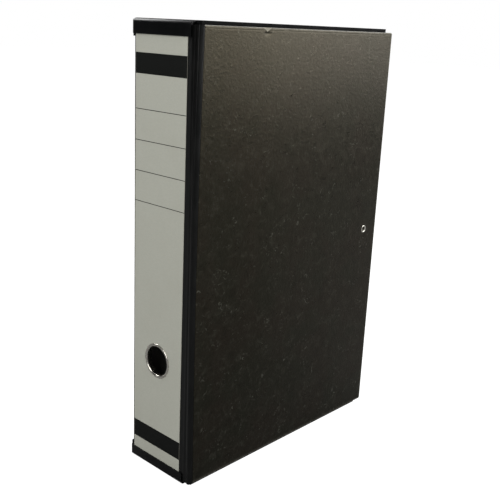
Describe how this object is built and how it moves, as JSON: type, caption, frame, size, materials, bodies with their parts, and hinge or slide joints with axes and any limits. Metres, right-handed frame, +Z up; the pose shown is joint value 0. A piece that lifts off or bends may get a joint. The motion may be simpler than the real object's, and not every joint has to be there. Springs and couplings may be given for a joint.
{
  "type": "box file",
  "caption": "Foolscap box file standing on its end: board case with marbled cover, labelled spine with finger hole, hinged lid, push-button catch and sprung paper press inside.",
  "frame": {"origin": "centre of the object's own box at floor level, under the end it stands on", "axes": "+Z up along the spine's length, +Y from the lid towards the base board, +X from the spine towards the fore-edge"},
  "size_m": [0.24, 0.076, 0.373],
  "materials": {
    "marbled_paper": "cloud-marbled cover paper, satin, worn slightly pale at the edges",
    "black_paper": "black covering paper with a fine leather grain",
    "black_cover": "smooth black coated sheet, satin sheen",
    "hinge_cloth": "black bookbinding cloth",
    "label_paper": "pale grey printed label with black bands and ruled lines",
    "nickel": "nickel plate",
    "spring_steel": "bright drawn wire",
    "zinc_steel": "zinc-plated pressed steel"
  },
  "bodies": {
    "tray": {"base_board": "marbled_paper", "spine_board": "black_paper", "hinge_cloth": "hinge_cloth", "spine_label": "label_paper", "lower_end_board": "black_paper", "upper_end_board": "black_paper", "fore_edge_board": "black_paper", "lower_end_cover": "black_cover", "upper_end_cover": "black_cover", "finger_ring": "nickel", "finger_ring_washer": "nickel", "catch_spring": "spring_steel", "catch_bracket": "zinc_steel", "catch_plate": "nickel", "catch_rivet_lower": "nickel", "catch_rivet_upper": "nickel", "press_plate": "zinc_steel", "press_rivet_lower": "zinc_steel", "press_rivet_upper": "zinc_steel", "pivot_rod": "zinc_steel", "bail_spring_lower": "spring_steel", "bail_spring_upper": "spring_steel"},
    "lid": {"lid_board": "marbled_paper", "lid_eyelet": "nickel", "catch_tongue": "nickel"},
    "button": {"catch_button": "nickel", "catch_clip": "spring_steel"},
    "bail": {"press_bail": "spring_steel"}
  },
  "joints": [
    {"name": "lid_hinge", "type": "hinge", "parent": "tray", "child": "lid", "pos_m": [-0.11925, -0.0335, 0.1865], "axis": [0, 0, -1], "range_deg": [0, 180], "deforming": ["hinge_cloth"]},
    {"name": "button_push", "type": "slide", "parent": "tray", "child": "button", "axis": [-1, 0, 0], "range_m": [0, 0.004], "stiffness_N_per_m": 200, "springref_m": -0.006, "deforming": ["catch_spring"]},
    {"name": "bail_hinge", "type": "hinge", "parent": "tray", "child": "bail", "pos_m": [-0.1035, 0.026, 0.1865], "axis": [0, 0, -1], "range_deg": [0, 90], "stiffness_Nm_per_rad": 0.06, "springref_deg": -34.38, "deforming": ["bail_spring_lower", "bail_spring_upper"]}
  ]
}
